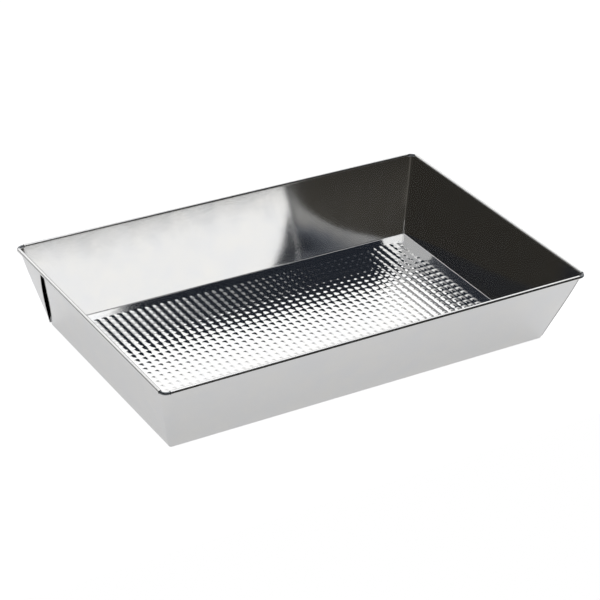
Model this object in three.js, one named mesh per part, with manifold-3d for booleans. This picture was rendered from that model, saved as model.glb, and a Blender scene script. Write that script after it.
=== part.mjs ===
import * as THREE from 'three';
import { mergeGeometries, mergeVertices } from 'three/addons/utils/BufferGeometryUtils.js';
import Module from 'manifold-3d';

// A tray folded from one sheet of tinplate, with its rim rolled over a steel wire.
// Millimetres, +Z up, X along the long side, origin at the centre of the flat base.

const wasm = await Module();
wasm.setup();

// Overall size over the rolled rim, and the size of the flat base
const LENGTH = 400;
const WIDTH = 257.4;
const HEIGHT = 68.6;
const BASE_LENGTH = 357;
const BASE_WIDTH = 208;

// Sheet and rim wire, and the free space between them
const SHEET = 0.3;
const WIRE_DIAMETER = 2.4;
const WIRE_PLAY = 0.2;
const WIRE_BEND = 5;
const WIRE_BUTT_GAP = 0.6;

// Folds of the sheet: outside radius of the fold at the foot, and of the upright corners
const FOOT_RADIUS = 0.9;
const CORNER_RADIUS = 1.5;

// Waffle pressed into the floor: its pitch, how high each boss stands, and the flat margin left round it
const WAFFLE_PITCH = 7.2;
const BOSS_HEIGHT = 0.5;
const FLAT_MARGIN = 10;

// Roll of the rim: how far it wraps, and how far it stops short of each corner
const ROLL_WRAP = THREE.MathUtils.degToRad(308);
const ROLL_STOP_ALONG_LENGTH = 6.4;
const ROLL_STOP_ALONG_WIDTH = 4.2;

// Folded corners: two layers laid on the end walls, and the lean of their free edge
const EAR_THICKNESS = 2 * SHEET + 0.1;
const EAR_FREE_EDGE_RUN = 20.5;
const EAR_FOOT_CLEARANCE = 1.5;
const EAR_TOP_CLEARANCE = 0.3;
const JOIN = 0.06;

// Fineness of the round stretches
const FOOT_STEPS = 3;
const CORNER_STEPS = 3;
const ROLL_STEPS = 18;
const WIRE_SIDES = 12;
const BEND_STEPS = 6;

const WIRE_RADIUS = WIRE_DIAMETER / 2;
const ROLL_INSIDE = WIRE_RADIUS + WIRE_PLAY;
const ROLL_OUTSIDE = ROLL_INSIDE + SHEET;
const RIM_Z = HEIGHT - ROLL_OUTSIDE;
const RIM_X = LENGTH / 2 - ROLL_OUTSIDE;
const RIM_Y = WIDTH / 2 - ROLL_OUTSIDE;

const END = wallSide(BASE_LENGTH / 2, RIM_X);
const LONG = wallSide(BASE_WIDTH / 2, RIM_Y);

// One wall seen from its end: half the base, half the rim and the lean from upright.
// The outer face starts at the base's edge and is tangent to the inside of the roll.
function wallSide(base, rim) {
  const run = rim - base;
  const lean = Math.atan2(run, RIM_Z) - Math.asin(ROLL_INSIDE / Math.hypot(run, RIM_Z));
  return { base, rim, lean };
}

// Points of one foot fold, from the base up to the wall, at a radius about the fold's centre
function footArc(side, radius, corner) {
  const turn = Math.PI / 2 - side.lean;
  const centre = side.base - FOOT_RADIUS * Math.tan(turn / 2);
  return Array.from({ length: FOOT_STEPS + 1 }, (_, i) => {
    const angle = (turn * i) / FOOT_STEPS;
    const out = centre + radius * Math.sin(angle);
    return { out, z: FOOT_RADIUS - radius * Math.cos(angle), corner };
  });
}

// Points of the rolled rim, from the top of the wall over the wire to the sheet's edge
function rollArc(side, radius, corner) {
  return Array.from({ length: ROLL_STEPS + 1 }, (_, i) => {
    const angle = Math.PI - side.lean - (ROLL_WRAP * i) / ROLL_STEPS;
    const out = side.rim + radius * Math.cos(angle);
    return { out, z: RIM_Z + radius * Math.sin(angle), corner };
  });
}

// The sheet's whole section on one side: up its inner face, over the roll and down its outer face
function sheetSection(side) {
  const insideCorner = CORNER_RADIUS - SHEET;
  return [
    ...footArc(side, FOOT_RADIUS - SHEET, insideCorner),
    ...rollArc(side, ROLL_OUTSIDE, insideCorner),
    ...rollArc(side, ROLL_INSIDE, CORNER_RADIUS).reverse(),
    ...footArc(side, FOOT_RADIUS, CORNER_RADIUS).reverse(),
  ];
}

// A rectangle with round corners, anticlockwise from above, through one point of each section
function sheetRing(end, long) {
  const ring = [];
  for (let quarter = 0; quarter < 4; quarter += 1) {
    const signX = quarter === 0 || quarter === 3 ? 1 : -1;
    const signY = quarter < 2 ? 1 : -1;
    for (let step = 0; step <= CORNER_STEPS; step += 1) {
      const angle = (Math.PI / 2) * (quarter + step / CORNER_STEPS);
      const share = Math.cos(angle) ** 2;
      const x = signX * (end.out - end.corner) + end.corner * Math.cos(angle);
      const y = signY * (long.out - long.corner) + long.corner * Math.sin(angle);
      ring.push(new THREE.Vector3(x, y, THREE.MathUtils.lerp(long.z, end.z, share)));
    }
  }
  return ring;
}

// A skin through rings of equal length, open at its first and last ring
function skin(rings) {
  const size = rings[0].length;
  const index = [];
  for (let i = 0; i < rings.length - 1; i += 1) {
    for (let j = 0; j < size; j += 1) {
      const here = i * size + j;
      const next = i * size + ((j + 1) % size);
      index.push(here, here + size, next + size, here, next + size, next);
    }
  }
  const geometry = new THREE.BufferGeometry().setFromPoints(rings.flat());
  geometry.setIndex(index);
  return geometry;
}

// A flat cap on a ring, seen anticlockwise from the side that it faces
function cap(ring) {
  const geometry = new THREE.BufferGeometry().setFromPoints(ring);
  const index = [];
  for (let j = 1; j < ring.length - 1; j += 1) {
    index.push(0, j, j + 1);
  }
  return geometry.setIndex(index);
}

// One face of the floor inside its ring: the flat margin, then the field of low four-sided bosses
function waffleFace(ring, facesUp) {
  const { z } = ring[0];
  const columns = Math.round((BASE_LENGTH - 2 * FLAT_MARGIN) / WAFFLE_PITCH);
  const rows = Math.round((BASE_WIDTH - 2 * FLAT_MARGIN) / WAFFLE_PITCH);
  const at = (column, row, height) => new THREE.Vector3(
    (column - columns / 2) * WAFFLE_PITCH,
    (row - rows / 2) * WAFFLE_PITCH,
    z + height,
  );
  const triangles = [];
  for (let column = 0; column < columns; column += 1) {
    for (let row = 0; row < rows; row += 1) {
      const near = [at(column, row, 0), at(column + 1, row, 0)];
      const foot = [...near, at(column + 1, row + 1, 0), at(column, row + 1, 0)];
      const peak = at(column + 0.5, row + 0.5, BOSS_HEIGHT);
      foot.forEach((point, i) => triangles.push(point, foot[(i + 1) % 4], peak));
    }
  }
  triangles.push(...marginTriangles(ring, fieldBorder(columns, rows, at)));
  if (!facesUp) {
    triangles.reverse();
  }
  const geometry = new THREE.BufferGeometry().setFromPoints(triangles);
  return mergeVertices(geometry);
}

// The field's outline through every boss corner on it, clockwise from above
function fieldBorder(columns, rows, at) {
  const border = [];
  for (let row = 0; row < rows; row += 1) border.push(at(0, row, 0));
  for (let column = 0; column < columns; column += 1) border.push(at(column, rows, 0));
  for (let row = rows; row > 0; row -= 1) border.push(at(columns, row, 0));
  for (let column = columns; column > 0; column -= 1) border.push(at(column, 0, 0));
  return border;
}

function marginTriangles(ring, border) {
  const points = [...ring, ...border];
  return THREE.ShapeUtils.triangulateShape(ring, [border]).flat().map((i) => points[i]);
}

function toSolid(geometry) {
  const plain = geometry.clone();
  plain.deleteAttribute('normal');
  plain.deleteAttribute('uv');
  const merged = mergeVertices(plain);
  const vertProperties = new Float32Array(merged.attributes.position.array);
  const triVerts = new Uint32Array(merged.index.array);
  return new wasm.Manifold(new wasm.Mesh({ numProp: 3, vertProperties, triVerts }));
}

function toGeometry(solid) {
  const mesh = solid.getMesh();
  const geometry = new THREE.BufferGeometry();
  geometry.setAttribute('position', new THREE.BufferAttribute(mesh.vertProperties, 3));
  geometry.setIndex(new THREE.BufferAttribute(mesh.triVerts, 1));
  geometry.computeVertexNormals();
  return geometry;
}

// The same body in another quarter of the tray
function mirrored(geometry, signX, signY) {
  const copy = mergeVertices(geometry).scale(signX, signY, 1);
  if (signX * signY < 0) {
    copy.setIndex(Array.from(copy.index.array).reverse());
  }
  return copy;
}

// The pan: floor, four walls and the roll all round the rim
function pan() {
  const end = sheetSection(END);
  const long = sheetSection(LONG);
  const rings = end.map((point, i) => sheetRing(point, long[i]));
  const floor = [waffleFace(rings[0], true), waffleFace(rings.at(-1), false)];
  return mergeVertices(mergeGeometries([skin(rings), ...floor]));
}

// The block cut away at a corner, where the roll stops and leaves the wire bare
function cornerNotch() {
  const floor = RIM_Z - ROLL_OUTSIDE - 2 * JOIN;
  const sizeX = ROLL_STOP_ALONG_LENGTH + 2 * ROLL_OUTSIDE;
  const sizeY = ROLL_STOP_ALONG_WIDTH + 2 * ROLL_OUTSIDE;
  const height = 4 * ROLL_OUTSIDE;
  const block = new THREE.BoxGeometry(sizeX, sizeY, height);
  const x = RIM_X - ROLL_STOP_ALONG_LENGTH + sizeX / 2;
  const y = RIM_Y - ROLL_STOP_ALONG_WIDTH + sizeY / 2;
  block.translate(x, y, floor + height / 2);
  return block;
}

// A folded corner: a triangle from the foot of the corner up to the roll, laid on the end wall.
// Its outline is drawn in Y and Z, then pushed out along X and leaned with the wall.
function cornerEar() {
  const top = RIM_Z - ROLL_OUTSIDE - EAR_TOP_CLEARANCE;
  const corner = (z) => LONG.base - CORNER_RADIUS / 2 + z * Math.tan(LONG.lean);
  const outline = new THREE.Shape();
  outline.moveTo(corner(EAR_FOOT_CLEARANCE), EAR_FOOT_CLEARANCE);
  outline.lineTo(corner(top), top);
  outline.lineTo(LONG.base - CORNER_RADIUS / 2 - EAR_FREE_EDGE_RUN, top);
  const thickness = EAR_THICKNESS / Math.cos(END.lean);
  const ear = new THREE.ExtrudeGeometry(outline, { depth: thickness + JOIN, bevelEnabled: false });
  const tilt = Math.tan(END.lean);
  const place = new THREE.Matrix4().set(
    0, tilt, 1, END.base - JOIN,
    1, 0, 0, 0,
    0, 1, 0, 0,
    0, 0, 0, 1,
  );
  return ear.applyMatrix4(place);
}

function trayBody() {
  let body = toSolid(pan());
  for (const signX of [-1, 1]) {
    for (const signY of [-1, 1]) {
      body = body.add(toSolid(mirrored(cornerEar(), signX, signY)));
      body = body.subtract(toSolid(mirrored(cornerNotch(), signX, signY)));
    }
  }
  return toGeometry(body);
}

// The rim wire: one round wire bent at four corners, its two ends meeting behind
function rimWire() {
  const stations = [{ x: -WIRE_BUTT_GAP / 2, y: RIM_Y, heading: Math.PI / 2 }];
  for (let corner = 1; corner <= 4; corner += 1) {
    for (let step = 0; step <= BEND_STEPS; step += 1) {
      const heading = (Math.PI / 2) * (corner + step / BEND_STEPS);
      const signX = corner === 1 || corner === 2 ? -1 : 1;
      const signY = corner === 1 || corner === 4 ? 1 : -1;
      const x = signX * (RIM_X - WIRE_BEND) + WIRE_BEND * Math.cos(heading);
      const y = signY * (RIM_Y - WIRE_BEND) + WIRE_BEND * Math.sin(heading);
      stations.push({ x, y, heading });
    }
  }
  stations.push({ x: WIRE_BUTT_GAP / 2, y: RIM_Y, heading: Math.PI / 2 });
  const rings = stations.map(wireRing);
  const ends = [cap(rings[0]), cap([...rings.at(-1)].reverse())];
  return mergeVertices(mergeGeometries([skin(rings), ...ends]));
}

// The wire's round section, square to its path; heading is the direction away from the tray
function wireRing({ x, y, heading }) {
  return Array.from({ length: WIRE_SIDES }, (_, i) => {
    const angle = (2 * Math.PI * i) / WIRE_SIDES;
    const out = WIRE_RADIUS * Math.cos(angle);
    const z = RIM_Z + WIRE_RADIUS * Math.sin(angle);
    return new THREE.Vector3(x + out * Math.cos(heading), y + out * Math.sin(heading), z);
  });
}

function named(name, geometry, color, roughness) {
  const material = new THREE.MeshStandardMaterial({ color, roughness, metalness: 1 });
  const mesh = new THREE.Mesh(geometry, material);
  mesh.name = name;
  return mesh;
}

const group = new THREE.Group();
group.add(named('tray_body', trayBody(), 0xc8c9c6, 0.16));
group.add(named('rim_wire', rimWire(), 0x9b9b97, 0.32));

export default group;
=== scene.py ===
"""A tinplate tray with a waffle floor and a rim rolled over wire, on a pale studio table."""

import math

import bmesh
import bpy
from mathutils import Matrix, Vector
from mathutils.geometry import tessellate_polygon

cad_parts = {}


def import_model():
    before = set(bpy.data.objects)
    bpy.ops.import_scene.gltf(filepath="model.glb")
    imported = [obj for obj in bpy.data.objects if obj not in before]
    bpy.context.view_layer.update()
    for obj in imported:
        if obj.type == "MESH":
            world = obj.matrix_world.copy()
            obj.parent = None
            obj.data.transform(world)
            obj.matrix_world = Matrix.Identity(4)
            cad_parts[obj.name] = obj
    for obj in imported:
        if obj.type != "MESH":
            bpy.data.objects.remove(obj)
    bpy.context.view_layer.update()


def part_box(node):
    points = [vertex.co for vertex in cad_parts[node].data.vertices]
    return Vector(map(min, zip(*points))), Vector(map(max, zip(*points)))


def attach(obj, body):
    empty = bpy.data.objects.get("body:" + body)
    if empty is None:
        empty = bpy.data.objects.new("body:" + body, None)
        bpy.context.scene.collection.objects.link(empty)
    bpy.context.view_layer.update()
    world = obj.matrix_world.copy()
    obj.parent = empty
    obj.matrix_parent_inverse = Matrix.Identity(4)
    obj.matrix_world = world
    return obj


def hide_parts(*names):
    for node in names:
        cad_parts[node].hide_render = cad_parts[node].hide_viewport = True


MM = 0.001
UP = (0, 0, 1)

# Sheet, and the flat base that it is folded up from
SHEET = 0.3 * MM
BASE_LENGTH = 357 * MM
BASE_WIDTH = 208 * MM

# Folds: outside radius at the foot, and of the upright corners at the foot and at the rim
FOOT_RADIUS = 1.0 * MM
CORNER_RADIUS_LOW = 1.6 * MM
CORNER_RADIUS_HIGH = 3.2 * MM

# Roll of the rim: how far it wraps, how far it stops short of each corner of the wire, and how far
# below the wire the sheet is cut away there
ROLL_WRAP = math.radians(308)
ROLL_STOP_X = 6.4 * MM
ROLL_STOP_Y = 4.4 * MM
NOTCH_DROP = 0.9 * MM

# Ears: the spare metal of each corner, folded double against the outside of the end wall. Each one
# starts some way round the corner, thin at first, and reaches its full run along the wall at the rim.
# One ear has sprung away from the wall.
EAR_THICKNESS = 0.65 * MM
EAR_GAP = 0.12 * MM
EAR_RUN = 20.5 * MM
EAR_START_TURN = math.radians(75)
EAR_THIN_TURN = math.radians(90)
EAR_FOOT = 0.03
EAR_TOP_DROP = 2.1 * MM
EAR_SPRUNG = 1.7 * MM
EAR_RINGS = 18
EAR_TURN_STEPS = 4
EAR_STEPS = 10
EAR_EDGE_STEPS = 5

# Waffle: bosses along and across the floor, and their pitch. They are beads that stand on low ribs,
# and the ribs run across the tray.
WAFFLE_COLUMNS = 47
WAFFLE_ROWS = 26
WAFFLE_PITCH_X = 7.15 * MM
WAFFLE_PITCH_Y = 7.25 * MM
RIB_HEIGHT = 0.12 * MM
BEAD_HEIGHT = 0.27 * MM

# Bow of the walls between their corners, foot and rim, fullest at two thirds of their height
WALL_BOW = 0.5 * MM

# Slow waves left in the walls by the folding: their height on the long and the end walls, their
# length, and how much they lean as they rise. The second wave is shorter and leans the other way.
WAVE_HEIGHT_LONG = 0.012 * MM
WAVE_HEIGHT_END = 0.06 * MM
WAVE_LENGTH = 74 * MM
WAVE_LEAN = 5
SECOND_WAVE_SHORTER = 1.7
SECOND_WAVE_LEAN = 7

# Fineness of the sheet's mesh
TOP_CELLS = 7
UNDER_CELLS = 3
FOOT_STEPS = 6
WALL_STEPS = 9
ROLL_STEPS = 20
CORNER_STEPS = 6
LONG_CELLS = 30
END_CELLS = 18
SUPPORT = 0.4 * MM
SHARP_ANGLE = math.radians(38)
ROUNDING = 1e-6

# Rim wire
WIRE_BEND = 5 * MM
WIRE_BUTT_GAP = 0.6 * MM
WIRE_SIDES = 20
WIRE_BEND_STEPS = 10

# The camera's place
CAMERA_AZIMUTH = math.radians(-33.05)
CAMERA_ELEVATION = math.radians(29.95)
CAMERA_ROLL = math.radians(3.02)
CAMERA_DISTANCE = 1831.4 * MM
CAMERA_TARGET = Vector((29.4, 43.9, 0.0)) * MM
CAMERA_LENS = 127.1
CAMERA_SENSOR = 36
CAMERA_REACH = 50

# Tinplate: its two tints, and the cells per metre and the depth of its slow waves, grain and lines
TIN_BRIGHT = (0.850, 0.846, 0.835, 1.0)
TIN_GREY = (0.828, 0.831, 0.836, 1.0)
TIN_WAVE_SCALE = 24
TIN_WAVE_DEPTH = 0.01 * MM
TIN_GRAIN_SCALE = 1400
TIN_GRAIN_DEPTH = 0.006 * MM
TIN_LINES_SCALE = (60, 2600, 900)
TIN_LINES_DEPTH = 0.0004 * MM
TIN_SMUDGE_SCALE = 45

# Tinplate's roughness: between its smudges, what the grain adds, and what the roll adds, which is
# dulled from a little below the wire's middle to a little above it
TIN_ROUGHNESS = (0.045, 0.075)
TIN_GRAIN_ROUGHNESS = 0.04
TIN_ROLL_ROUGHNESS = 0.15
TIN_ROLL_FROM = -0.8 * MM
TIN_ROLL_TO = 0.2 * MM

# Wire: its steel and its brown specks, their cells per metre and depth, and its roughness
WIRE_STEEL = (0.23, 0.25, 0.27, 1.0)
WIRE_SPECKS = (0.16, 0.13, 0.11, 1.0)
WIRE_SPECK_SCALE = 700
WIRE_SPECK_DEPTH = 0.02 * MM
WIRE_ROUGHNESS = (0.24, 0.42)

# Radiance of the sweep behind the table, the box beside it, the fill from the front and the room
SWEEP_LIGHT = 1.20
SIDE_LIGHT = 0.40
FILL_LIGHT = 0.10
ROOM_LIGHT = 0.032

# The room's tint low down and high up, how far up a direction points where the one starts to turn
# into the other and where it has, and the radiance from which light is white
ROOM_COLOUR_LOW = (1.0, 0.93, 0.80, 1.0)
ROOM_COLOUR_HIGH = (0.62, 0.74, 1.0, 1.0)
ROOM_HEIGHTS = (0.35, 0.75)
WHITE_FROM = 0.3

# Where those lights lie: an axis, and how far a direction points along it where the light is gone
# and where it is full
SWEEP_TOP = ((-0.33, 0, 0.94), 0.725, 0.65)
SWEEP_SIDE = ((0.60, 0.80, 0), 0.1, 0.50)
SWEEP_FOOT = (UP, -0.35, -0.05)
SIDE_BOX = ((-0.45, 0.66, 0.60), 0.966, 0.992)
FILL_AXIS = (0, -0.93, 0.36)
FILL_REACH = (0.86, 1.0)

# The sweep's foot is half as bright as its top: how far up a direction points at each of them
SWEEP_HEIGHTS = (0.22, 0.50)
SWEEP_FOOT_LIGHT = SWEEP_LIGHT / 2

# Overhead boxes, as left edge, right edge and radiance: one in front, and strips side by side behind
# it. The height is theirs above the table, and each span gives their front and back edges.
OVERHEAD_HEIGHT = 0.9
FRONT_BOX = (-0.40, 0.30, 1.4)
FRONT_BOX_SPAN = (-0.36, -0.18)
OVERHEAD_STRIPS = ((-0.50, 0.08, 0.62), (0.08, 0.22, 1.1), (0.22, 0.39, 0.35))
STRIPS_SPAN = (-0.18, 0.36)

# The table, which ends a hand's width in front of the tray: left, right, front and back edges. It
# glows, more brightly to the camera than to the tray, and takes some light from above.
TABLE_EDGES = (-2.0, 2.5, -0.22, 2.5)
TABLE_GAP = 0.05 * MM
TABLE_LIGHT = 0.55
TABLE_LIGHT_SEEN = 0.95
TABLE_COLOUR = (0.44, 0.44, 0.45, 1.0)
BACKGROUND_LIGHT_SEEN = 1.0
WHITE = (1.0, 1.0, 1.0, 1.0)


# ---------------------------------------------------------------- the sheet's section


class Side:
    """One wall seen from its end: half the base, half the rim and the lean from upright."""

    def __init__(self, base, rim, rim_z, roll_inside):
        run = rim - base
        self.base = base
        self.rim = rim
        self.rim_z = rim_z
        self.lean = math.atan2(run, rim_z) - math.asin(roll_inside / math.hypot(run, rim_z))


class Frame:
    """The driving sizes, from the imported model's own boxes."""

    def __init__(self):
        tray_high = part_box("tray_body")[1]
        wire_low, wire_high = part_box("rim_wire")
        self.wire_radius = (wire_high.z - wire_low.z) / 2
        self.rim_z = wire_low.z + self.wire_radius
        self.rim_x = wire_high.x - self.wire_radius
        self.rim_y = wire_high.y - self.wire_radius
        self.roll_outside = tray_high.z - self.rim_z
        self.roll_inside = self.roll_outside - SHEET
        self.end = Side(BASE_LENGTH / 2, self.rim_x, self.rim_z, self.roll_inside)
        self.long = Side(BASE_WIDTH / 2, self.rim_y, self.rim_z, self.roll_inside)


def foot_arc(side, radius):
    """Points (out, up) round the foot fold, from the base to the wall."""
    turn = math.pi / 2 - side.lean
    centre = side.base - FOOT_RADIUS * math.tan(turn / 2)
    angles = [turn * i / FOOT_STEPS for i in range(FOOT_STEPS + 1)]
    return [(centre + radius * math.sin(a), FOOT_RADIUS - radius * math.cos(a)) for a in angles]


def roll_arc(side, radius):
    """Points (out, up) round the roll, from the wall's top over the wire to the sheet's edge."""
    angles = [math.pi - side.lean - ROLL_WRAP * i / ROLL_STEPS for i in range(ROLL_STEPS + 1)]
    return [(side.rim + radius * math.cos(a), side.rim_z + radius * math.sin(a)) for a in angles]


def wall_shares(side):
    """Heights up a wall, from its foot fold at 0 to its roll at 1, with the notch's floor too."""
    height = side.rim_z - FOOT_RADIUS
    even = [i / WALL_STEPS for i in range(1, WALL_STEPS)]
    return sorted([SUPPORT / height, *even, notch_share(side), 1 - SUPPORT / height])


def notch_share(side):
    return 1 - NOTCH_DROP / (side.rim_z - FOOT_RADIUS)


def one_face(side, foot_radius, roll_radius):
    """One face of the sheet, from the margin of the floor up the wall and round the roll.
    Each point is (out, up, share), where share is the height up the wall."""
    foot = foot_arc(side, foot_radius)
    roll = roll_arc(side, roll_radius)
    (low_out, low_up), (high_out, high_up) = foot[-1], roll[0]
    points = [(foot[0][0] - SUPPORT, foot[0][1], 0.0)]
    points += [(out, up, 0.0) for out, up in foot]
    for share in wall_shares(side):
        out = low_out + (high_out - low_out) * share
        up = low_up + (high_up - low_up) * share
        points.append((out, up, share))
    points += [(out, up, 1.0) for out, up in roll]
    return points


def sheet_section(side, roll_outside):
    """The sheet's whole section: up its inner face, over the roll and down its outer face."""
    inner = one_face(side, FOOT_RADIUS - SHEET, roll_outside)
    outer = one_face(side, FOOT_RADIUS, roll_outside - SHEET)
    return inner, outer[::-1]


# ---------------------------------------------------------------- meshes


class Builder:
    """Points and faces of one mesh."""

    def __init__(self):
        self.points = []
        self.faces = []

    def add(self, points):
        first = len(self.points)
        self.points.extend(points)
        return range(first, first + len(points))

    def make(self, name, material):
        mesh = bpy.data.meshes.new(name)
        mesh.from_pydata(self.points, [], self.faces)
        work = bmesh.new()
        work.from_mesh(mesh)
        loose = [v for v in work.verts if not v.link_faces]
        bmesh.ops.delete(work, geom=loose, context="VERTS")
        bmesh.ops.recalc_face_normals(work, faces=work.faces)
        work.to_mesh(mesh)
        work.free()
        mesh.shade_smooth()
        mesh.set_sharp_from_angle(angle=SHARP_ANGLE)
        mesh.materials.append(material)
        piece = bpy.data.objects.new(name, mesh)
        bpy.context.scene.collection.objects.link(piece)
        return piece


def add_skin(build, rings):
    """Quads between neighbouring rings, each a list of point numbers."""
    size = len(rings[0])
    for low, high in zip(rings, rings[1:]):
        for j in range(size):
            k = (j + 1) % size
            build.faces.append((low[j], low[k], high[k], high[j]))


# ---------------------------------------------------------------- the sheet in the round


class Plan:
    """Where a ring's points lie round the tray: corners in turn, with a wall after each."""

    def __init__(self, frame):
        top_x = frame.end.rim - frame.roll_outside * math.cos(frame.end.lean) - CORNER_RADIUS_HIGH
        top_y = frame.long.rim - frame.roll_outside * math.cos(frame.long.lean) - CORNER_RADIUS_HIGH
        self.top = (top_x, top_y)
        self.stops = ((frame.rim_x - ROLL_STOP_X) / top_x, (frame.rim_y - ROLL_STOP_Y) / top_y)
        self.shares = (
            self.places(LONG_CELLS, self.stops[0], top_x),
            self.places(END_CELLS, self.stops[1], top_y),
        )

    def places(self, cells, stop, straight):
        """Places along a wall as shares of its straight half, from one corner to the other."""
        even = [stop - 2 * stop * i / cells for i in range(cells + 1)]
        near = 1 - SUPPORT / straight
        if near > stop + SUPPORT / straight:
            even = [near, *even, -near]
        return even

    def ring(self, end, long, corner, straight=None):
        """Points of one ring. end and long are (out, up) of the end walls and the long walls."""
        flat_x, flat_y = straight or (end[0] - corner, long[0] - corner)
        points = []
        for quarter, (sign_x, sign_y) in enumerate(((1, 1), (-1, 1), (-1, -1), (1, -1))):
            for step in range(CORNER_STEPS + 1):
                angle = math.pi / 2 * (quarter + step / CORNER_STEPS)
                x = sign_x * (end[0] - corner) + corner * math.cos(angle)
                y = sign_y * (long[0] - corner) + corner * math.sin(angle)
                share = math.cos(angle) ** 2
                points.append((x, y, end[1] * share + long[1] * (1 - share)))
            if quarter % 2 == 0:
                points += [(sign_x * f * flat_x, sign_y * long[0], long[1]) for f in self.shares[0]]
            else:
                points += [(sign_x * end[0], sign_y * f * flat_y, end[1]) for f in self.shares[1]]
        return points

    def walls(self):
        """For each point of a ring: its wall's number and its place along it, or None at a corner."""
        marks = []
        for quarter in range(4):
            marks += [None] * (CORNER_STEPS + 1)
            marks += [(quarter, f) for f in self.shares[quarter % 2]]
        return marks

    def rolled(self):
        """For each column between two points of a ring: whether the rim is rolled there."""
        marks = self.walls()
        inside = [m is not None and abs(m[1]) <= self.stops[m[0] % 2] + ROUNDING for m in marks]
        return [a and b for a, b in zip(inside, inside[1:] + inside[:1])]


def wall_push(share, place, wave_height):
    """How far a wall bulges outwards at a share of its height and a place along it."""
    fullest = 27 / 4  # brings share**2 * (1 - share) up to 1 where it is greatest
    bow = WALL_BOW * fullest * share**2 * (1 - share)
    phase = 2 * math.pi * place / WAVE_LENGTH
    wave = math.sin(phase + WAVE_LEAN * share)
    wave += math.sin(SECOND_WAVE_SHORTER * phase - SECOND_WAVE_LEAN * share)
    return bow + wave_height * wave * math.sin(math.pi * share)


def bowed(point, mark, share):
    """A ring's point pushed out by the bulge of its wall, or of both walls at a corner. Walls 0 and 2
    are the long ones, and 1 and 3 the end ones."""
    x, y, z = point
    wall = None if mark is None else mark[0]
    if wall in (None, 1, 3):
        x += math.copysign(wall_push(share, point[1], WAVE_HEIGHT_END), x)
    if wall in (None, 0, 2):
        y += math.copysign(wall_push(share, point[0], WAVE_HEIGHT_LONG), y)
    return (x, y, z)


def corner_radius(share, inner):
    radius = CORNER_RADIUS_LOW + (CORNER_RADIUS_HIGH - CORNER_RADIUS_LOW) * share
    return radius - SHEET if inner else radius


def sheet_rings(build, frame, plan):
    """Every ring of the sheet, inner face first, as lists of point numbers."""
    rings = []
    marks = plan.walls()
    ends = sheet_section(frame.end, frame.roll_outside)
    longs = sheet_section(frame.long, frame.roll_outside)
    for inner, end_face, long_face in zip((True, False), ends, longs):
        for end, long in zip(end_face, long_face):
            share = end[2]
            straight = plan.top if share == 1 else None
            ring = plan.ring(end, long, corner_radius(share, inner), straight)
            ring = [bowed(point, mark, share) for point, mark in zip(ring, marks)]
            rings.append(list(build.add(ring)))
    return rings


def add_sheet_faces(build, frame, plan, rings):
    """The skin through the rings, with the roll left out at the corners and its cut ends closed."""
    half = len(rings) // 2
    notch = 1 + FOOT_STEPS + 1 + wall_shares(frame.end).index(notch_share(frame.end))
    far = len(rings) - 1 - notch
    size = len(rings[0])
    rolled = plan.rolled()
    for j in range(size):
        k = (j + 1) % size
        for i in range(len(rings) - 1):
            if rolled[j] or not notch <= i < far:
                build.faces.append((rings[i][j], rings[i][k], rings[i + 1][k], rings[i + 1][j]))
        if not rolled[j]:
            build.faces.append((rings[notch][j], rings[notch][k], rings[far][k], rings[far][j]))
        if rolled[j] != rolled[j - 1]:
            for i in range(notch, half - 1):
                m = len(rings) - 1 - i
                build.faces.append((rings[i][j], rings[i + 1][j], rings[m - 1][j], rings[m][j]))


def outer_wall(side, share, roll_inside):
    """The place (out, up) on a wall's outer face, at a share of its height."""
    low_out, low_up = foot_arc(side, FOOT_RADIUS)[-1]
    high_out, high_up = roll_arc(side, roll_inside)[0]
    return (low_out + (high_out - low_out) * share, low_up + (high_up - low_up) * share)


def ear_path(frame, share):
    """Places (x, y) round one corner and along the end wall behind an ear, each with its way out
    and how far across the ear it lies: 0 to 1 along the wall to the free edge, and round the corner
    the angle still to turn, below 0."""
    end, up = outer_wall(frame.end, share, frame.roll_inside)
    long = outer_wall(frame.long, share, frame.roll_inside)[0]
    end += wall_push(share, long, 0.0)
    long += wall_push(share, end, 0.0)
    radius = corner_radius(share, False)
    free = BASE_WIDTH / 2 - EAR_RUN * up / frame.rim_z
    path = []
    for step in range(EAR_TURN_STEPS):
        turn = EAR_START_TURN * (1 - step / EAR_TURN_STEPS)
        out = Vector((math.cos(turn), math.sin(turn)))
        path.append((Vector((end - radius, long - radius)) + radius * out, out, -turn))
    for step in range(EAR_STEPS + 1):
        across = step / EAR_STEPS
        y = (long - radius) * (1 - across) + free * across
        path.append((Vector((end, y)), Vector((1, 0)), across))
    return path, up


def ear_ring(frame, share, sprung):
    """One section of an ear at a share of the wall's height, from its outer face to its inner one.
    A sprung ear stands off most at its free edge, and is held at its foot and its top."""
    path, up = ear_path(frame, share)
    outer, inner = [], []
    for place, out, across in path:
        lift = EAR_GAP + sprung * max(across, 0.0) ** 1.5 * math.sin(math.pi * share) ** 0.4
        thick = EAR_THICKNESS * (1 + min(across, 0.0) / EAR_THIN_TURN)
        inner.append(place + lift * out)
        outer.append(place + (lift + thick) * out)
    centre = (inner[-1] + outer[-1]) / 2
    edge = []
    for step in range(1, EAR_EDGE_STEPS):
        angle = math.pi * step / EAR_EDGE_STEPS
        edge.append(centre + EAR_THICKNESS / 2 * Vector((math.cos(angle), -math.sin(angle))))
    return [(p.x, p.y, up) for p in [*outer, *edge, *inner[::-1]]]


def add_ear(build, frame, sign_x, sign_y, sprung):
    top = 1 - EAR_TOP_DROP / frame.rim_z
    rings = []
    for step in range(EAR_RINGS + 1):
        share = EAR_FOOT + (top - EAR_FOOT) * step / EAR_RINGS
        ring = [(sign_x * x, sign_y * y, z) for x, y, z in ear_ring(frame, share, sprung)]
        rings.append(list(build.add(ring)))
    add_skin(build, rings)
    add_end(build, rings[0])
    add_end(build, rings[-1])


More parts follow.
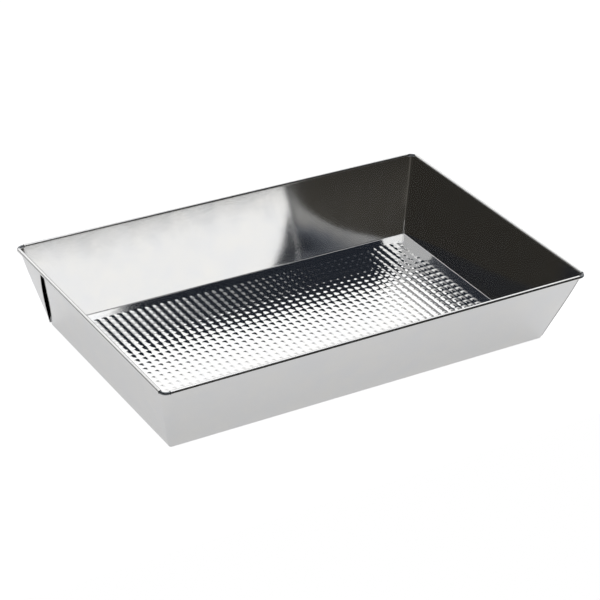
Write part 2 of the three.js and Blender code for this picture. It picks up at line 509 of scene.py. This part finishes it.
def add_end(build, ring):
    """A ring closed by a strip of quads between its outer and its inner half."""
    size = len(ring)
    for j in range(size // 2 - 1):
        near, far = size - 1 - j, size - 2 - j
        build.faces.append((ring[j], ring[j + 1], ring[far], ring[near]))


def waffle_height(u, v):
    """Height of the waffle, u and v counted in bosses from one corner of the field. The ribs fade
    out over the outermost half boss."""
    rib = math.sin(math.pi * u) ** 2
    bead = 1 - math.cos(math.pi * v) ** 4
    edge = min(u, WAFFLE_COLUMNS - u, v, WAFFLE_ROWS - v)
    fade = min(1.0, 2 * edge) ** 2
    return rib * (RIB_HEIGHT * fade + BEAD_HEIGHT * bead)


def waffle_point(column, row, cells, z):
    u, v = column / cells, row / cells
    x = (u - WAFFLE_COLUMNS / 2) * WAFFLE_PITCH_X
    y = (v - WAFFLE_ROWS / 2) * WAFFLE_PITCH_Y
    return (x, y, z + waffle_height(u, v))


def add_waffle(build, cells, ring, z):
    """One face of the floor inside its ring: the waffle field, and the flat margin round it."""
    columns = WAFFLE_COLUMNS * cells
    rows = WAFFLE_ROWS * cells
    grid = []
    for row in range(rows + 1):
        line = [waffle_point(column, row, cells, z) for column in range(columns + 1)]
        grid.append(build.add(line))
    for low, high in zip(grid, grid[1:]):
        for c in range(columns):
            build.faces.append((low[c], low[c + 1], high[c + 1], high[c]))
    border = list(grid[0][:-1]) + [line[-1] for line in grid[:-1]]
    border += list(grid[-1][:0:-1]) + [line[0] for line in grid[:0:-1]]
    loops = [[Vector(build.points[n]).to_2d().to_3d() for n in loop] for loop in (ring, border)]
    numbers = list(ring) + border
    for triangle in tessellate_polygon(loops):
        build.faces.append(tuple(numbers[n] for n in triangle))


def tray_piece(frame, material):
    plan = Plan(frame)
    build = Builder()
    rings = sheet_rings(build, frame, plan)
    add_sheet_faces(build, frame, plan, rings)
    add_waffle(build, TOP_CELLS, rings[0], SHEET)
    add_waffle(build, UNDER_CELLS, rings[-1], 0.0)
    for sign_x, sign_y in ((1, 1), (-1, 1), (-1, -1), (1, -1)):
        is_sprung = (sign_x, sign_y) == (-1, 1)
        add_ear(build, frame, sign_x, sign_y, EAR_SPRUNG if is_sprung else 0.0)
    return build.make("tray_sheet", material)


# ---------------------------------------------------------------- the wire


def wire_stations(frame):
    """Points of the wire's centre line and the way outwards there, from one butt end to the other."""
    stations = [(-WIRE_BUTT_GAP / 2, frame.rim_y, math.pi / 2)]
    for quarter, (sign_x, sign_y) in enumerate(((-1, 1), (-1, -1), (1, -1), (1, 1)), start=1):
        for step in range(WIRE_BEND_STEPS + 1):
            angle = math.pi / 2 * (quarter + step / WIRE_BEND_STEPS)
            x = sign_x * (frame.rim_x - WIRE_BEND) + WIRE_BEND * math.cos(angle)
            y = sign_y * (frame.rim_y - WIRE_BEND) + WIRE_BEND * math.sin(angle)
            stations.append((x, y, angle))
    stations.append((WIRE_BUTT_GAP / 2, frame.rim_y, math.pi / 2))
    return stations


def wire_piece(frame, material):
    build = Builder()
    rings = []
    for x, y, heading in wire_stations(frame):
        ring = []
        for side in range(WIRE_SIDES):
            angle = 2 * math.pi * side / WIRE_SIDES
            out = frame.wire_radius * math.cos(angle)
            z = frame.rim_z + frame.wire_radius * math.sin(angle)
            ring.append((x + out * math.cos(heading), y + out * math.sin(heading), z))
        rings.append(list(build.add(ring)))
    add_skin(build, rings)
    build.faces += [tuple(rings[0]), tuple(rings[-1][::-1])]
    return build.make("rim_wire_loop", material)


# ---------------------------------------------------------------- nodes


def new_nodes(holder):
    holder.use_nodes = True
    holder.node_tree.nodes.clear()
    return holder.node_tree


def add_node(tree, kind, inputs=(), **settings):
    """A node with its settings, and with values or links on its inputs by name or number."""
    node = tree.nodes.new(kind)
    for key, value in settings.items():
        setattr(node, key, value)
    for key, value in dict(inputs).items():
        if isinstance(value, bpy.types.NodeSocket):
            tree.links.new(value, node.inputs[key])
        else:
            node.inputs[key].default_value = value
    return node


def noise(tree, place, scale, detail=2.0, roughness=0.5):
    """Noise between 0 and 1, its scale in cells per metre."""
    node = add_node(tree, "ShaderNodeTexNoise", {
        "Vector": place,
        "Scale": scale,
        "Detail": detail,
        "Roughness": roughness,
    })
    return node.outputs["Fac"]


def stretched(tree, place, scale):
    node = add_node(tree, "ShaderNodeVectorMath", {0: place, 1: scale}, operation="MULTIPLY")
    return node.outputs[0]


def math_node(tree, operation, a, b):
    return add_node(tree, "ShaderNodeMath", {0: a, 1: b}, operation=operation).outputs[0]


def spread(tree, value, low, high, to_low, to_high, curve="LINEAR"):
    """A value's range from low to high, clamped and carried over to another range."""
    node = add_node(tree, "ShaderNodeMapRange", {
        "Value": value,
        "From Min": low,
        "From Max": high,
        "To Min": to_low,
        "To Max": to_high,
    }, interpolation_type=curve)
    return node.outputs["Result"]


def smooth_mask(tree, value, gone, full):
    """0 where the value is at gone and 1 at full, smooth between them; gone may be the greater."""
    if gone < full:
        return spread(tree, value, gone, full, 0.0, 1.0, "SMOOTHSTEP")
    return spread(tree, value, full, gone, 1.0, 0.0, "SMOOTHSTEP")


def along(tree, direction, axis):
    """How far a direction points along an axis, from -1 to 1."""
    inputs = {0: direction, 1: Vector(axis).normalized()}
    return add_node(tree, "ShaderNodeVectorMath", inputs, operation="DOT_PRODUCT").outputs["Value"]


def light_mask(tree, direction, axis, gone, full):
    return smooth_mask(tree, along(tree, direction, axis), gone, full)


def mixed_value(tree, share, first, second):
    return add_node(tree, "ShaderNodeMix", {0: share, 2: first, 3: second}).outputs[0]


def mixed_colour(tree, share, first, second):
    inputs = {0: share, 6: first, 7: second}
    return add_node(tree, "ShaderNodeMix", inputs, data_type="RGBA").outputs[2]


def bump(tree, height, depth, normal=None):
    inputs = {"Height": height, "Distance": depth, "Strength": 1.0}
    if normal is not None:
        inputs["Normal"] = normal
    return add_node(tree, "ShaderNodeBump", inputs).outputs["Normal"]


def add_metal(tree, tint, rough, normal):
    """The end of a metal's node tree: its shader and its output."""
    shader = add_node(tree, "ShaderNodeBsdfPrincipled", {
        "Metallic": 1.0,
        "Base Color": tint,
        "Roughness": rough,
        "Normal": normal,
    })
    add_node(tree, "ShaderNodeOutputMaterial", {"Surface": shader.outputs["BSDF"]})


# ---------------------------------------------------------------- materials


def tin_bumps(tree, place, grain):
    """The tinplate's normal: slow waves, the grain, and rolling lines along the tray."""
    waves = noise(tree, place, TIN_WAVE_SCALE, detail=1.0)
    lines = noise(tree, stretched(tree, place, TIN_LINES_SCALE), 1.0)
    normal = bump(tree, waves, TIN_WAVE_DEPTH)
    normal = bump(tree, grain, TIN_GRAIN_DEPTH, normal)
    return bump(tree, lines, TIN_LINES_DEPTH, normal)


def tin_roughness(tree, place, grain, smudge, rim_z):
    """The tinplate's roughness: nearly a mirror, duller in its smudges and grain and on the roll."""
    dull = spread(tree, smudge, 0.4, 0.75, *TIN_ROUGHNESS)
    grainy = spread(tree, grain, 0.45, 0.65, 0.0, TIN_GRAIN_ROUGHNESS)
    height = add_node(tree, "ShaderNodeSeparateXYZ", {0: place}).outputs["Z"]
    roll = smooth_mask(tree, height, rim_z + TIN_ROLL_FROM, rim_z + TIN_ROLL_TO)
    rolled = math_node(tree, "MULTIPLY", roll, TIN_ROLL_ROUGHNESS)
    return math_node(tree, "ADD", math_node(tree, "ADD", dull, grainy), rolled)


def tin_material(rim_z):
    """Bright tinplate with a fine grain, rolling lines and smudges."""
    material = bpy.data.materials.new("tinplate")
    tree = new_nodes(material)
    place = add_node(tree, "ShaderNodeTexCoord").outputs["Object"]
    grain = noise(tree, place, TIN_GRAIN_SCALE)
    smudge = noise(tree, place, TIN_SMUDGE_SCALE, detail=4.0, roughness=0.6)
    tint = mixed_colour(tree, spread(tree, smudge, 0.35, 0.65, 0.0, 1.0), TIN_BRIGHT, TIN_GREY)
    rough = tin_roughness(tree, place, grain, smudge, rim_z)
    add_metal(tree, tint, rough, tin_bumps(tree, place, grain))
    return material


def wire_material():
    """Drawn steel wire, dark and dull, with brown specks."""
    material = bpy.data.materials.new("wire_steel")
    tree = new_nodes(material)
    place = add_node(tree, "ShaderNodeTexCoord").outputs["Object"]
    specks = noise(tree, place, WIRE_SPECK_SCALE, detail=3.0, roughness=0.6)
    tint = mixed_colour(tree, spread(tree, specks, 0.5, 0.7, 0.0, 1.0), WIRE_STEEL, WIRE_SPECKS)
    rough = spread(tree, specks, 0.3, 0.7, *WIRE_ROUGHNESS)
    add_metal(tree, tint, rough, bump(tree, specks, WIRE_SPECK_DEPTH))
    return material


def table_material():
    """A white table lit from below as well, so that hardly a shadow is left on it."""
    material = bpy.data.materials.new("table_white")
    tree = new_nodes(material)
    seen = add_node(tree, "ShaderNodeLightPath").outputs["Is Camera Ray"]
    strength = mixed_value(tree, seen, TABLE_LIGHT, TABLE_LIGHT_SEEN)
    glow = add_node(tree, "ShaderNodeEmission", {"Color": WHITE, "Strength": strength})
    shade = add_node(tree, "ShaderNodeBsdfDiffuse", {"Color": TABLE_COLOUR})
    both = add_node(tree, "ShaderNodeAddShader", {0: glow.outputs[0], 1: shade.outputs[0]})
    add_node(tree, "ShaderNodeOutputMaterial", {"Surface": both.outputs[0]})
    return material


# ---------------------------------------------------------------- studio


def add_camera():
    data = bpy.data.cameras.new("camera")
    data.lens = CAMERA_LENS
    data.sensor_width = CAMERA_SENSOR
    data.clip_end = CAMERA_REACH
    camera = bpy.data.objects.new("camera", data)
    bpy.context.scene.collection.objects.link(camera)
    away = Vector((
        math.sin(CAMERA_AZIMUTH) * math.cos(CAMERA_ELEVATION),
        -math.cos(CAMERA_AZIMUTH) * math.cos(CAMERA_ELEVATION),
        math.sin(CAMERA_ELEVATION),
    ))
    level = Vector(UP).cross(away).normalized()
    upright = away.cross(level)
    turned = Matrix((level, upright, away)).transposed() @ Matrix.Rotation(CAMERA_ROLL, 3, "Z")
    place = Matrix.Translation(CAMERA_TARGET + away * CAMERA_DISTANCE)
    camera.matrix_world = place @ turned.to_4x4()
    bpy.context.scene.camera = camera


def sweep_light(tree, direction):
    """The bright sweep behind the table, bounded above, at its side and below."""
    up = along(tree, direction, UP)
    bounds = [light_mask(tree, direction, *edge) for edge in (SWEEP_TOP, SWEEP_SIDE, SWEEP_FOOT)]
    light = spread(tree, up, *SWEEP_HEIGHTS, SWEEP_FOOT_LIGHT, SWEEP_LIGHT)
    for bound in bounds:
        light = math_node(tree, "MULTIPLY", light, bound)
    return light


def studio_light(tree, direction):
    """Radiance from each direction: the brightest of the sweep, the side box and the fill."""
    side_box = math_node(tree, "MULTIPLY", light_mask(tree, direction, *SIDE_BOX), SIDE_LIGHT)
    toward_fill = along(tree, direction, FILL_AXIS)
    fill = spread(tree, toward_fill, *FILL_REACH, ROOM_LIGHT, FILL_LIGHT)
    boxes = math_node(tree, "MAXIMUM", sweep_light(tree, direction), side_box)
    return math_node(tree, "MAXIMUM", boxes, fill)


def add_world():
    """The studio's light by direction. The camera itself sees plain white."""
    world = bpy.data.worlds.new("studio")
    bpy.context.scene.world = world
    tree = new_nodes(world)
    direction = add_node(tree, "ShaderNodeTexCoord").outputs["Generated"]
    seen = add_node(tree, "ShaderNodeLightPath").outputs["Is Camera Ray"]
    strength = mixed_value(tree, seen, studio_light(tree, direction), BACKGROUND_LIGHT_SEEN)
    height = light_mask(tree, direction, UP, *ROOM_HEIGHTS)
    room = mixed_colour(tree, height, ROOM_COLOUR_LOW, ROOM_COLOUR_HIGH)
    whiteness = spread(tree, strength, ROOM_LIGHT, WHITE_FROM, 0.0, 1.0)
    tint = mixed_colour(tree, whiteness, room, WHITE)
    back = add_node(tree, "ShaderNodeBackground", {"Color": tint, "Strength": strength})
    add_node(tree, "ShaderNodeOutputWorld", {"Surface": back.outputs[0]})


def add_table():
    left, right, front, back = TABLE_EDGES
    corners = ((left, front), (right, front), (right, back), (left, back))
    mesh = bpy.data.meshes.new("table")
    mesh.from_pydata([(x, y, -TABLE_GAP) for x, y in corners], [], [(0, 1, 2, 3)])
    mesh.materials.append(table_material())
    table = bpy.data.objects.new("table", mesh)
    bpy.context.scene.collection.objects.link(table)


def add_overhead_box(name, left, right, radiance, span):
    """A flat box that shines straight down, between its left, right, front and back edges."""
    front, back = span
    data = bpy.data.lights.new(name, "AREA")
    data.shape = "RECTANGLE"
    data.size = right - left
    data.size_y = back - front
    data.energy = radiance * math.pi * data.size * data.size_y
    light = bpy.data.objects.new(name, data)
    bpy.context.scene.collection.objects.link(light)
    light.location = ((left + right) / 2, (front + back) / 2, OVERHEAD_HEIGHT)
    light.visible_camera = False


def add_studio():
    add_world()
    add_table()
    add_overhead_box("front_box", *FRONT_BOX, FRONT_BOX_SPAN)
    for strip in OVERHEAD_STRIPS:
        add_overhead_box("strip", *strip, STRIPS_SPAN)
    bpy.context.scene.view_settings.view_transform = "Standard"


def main():
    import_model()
    frame = Frame()
    add_camera()
    add_studio()
    tray = tray_piece(frame, tin_material(frame.rim_z))
    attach(tray, "root")
    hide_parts("tray_body")
    wire = wire_piece(frame, wire_material())
    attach(wire, "root")
    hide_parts("rim_wire")


main()
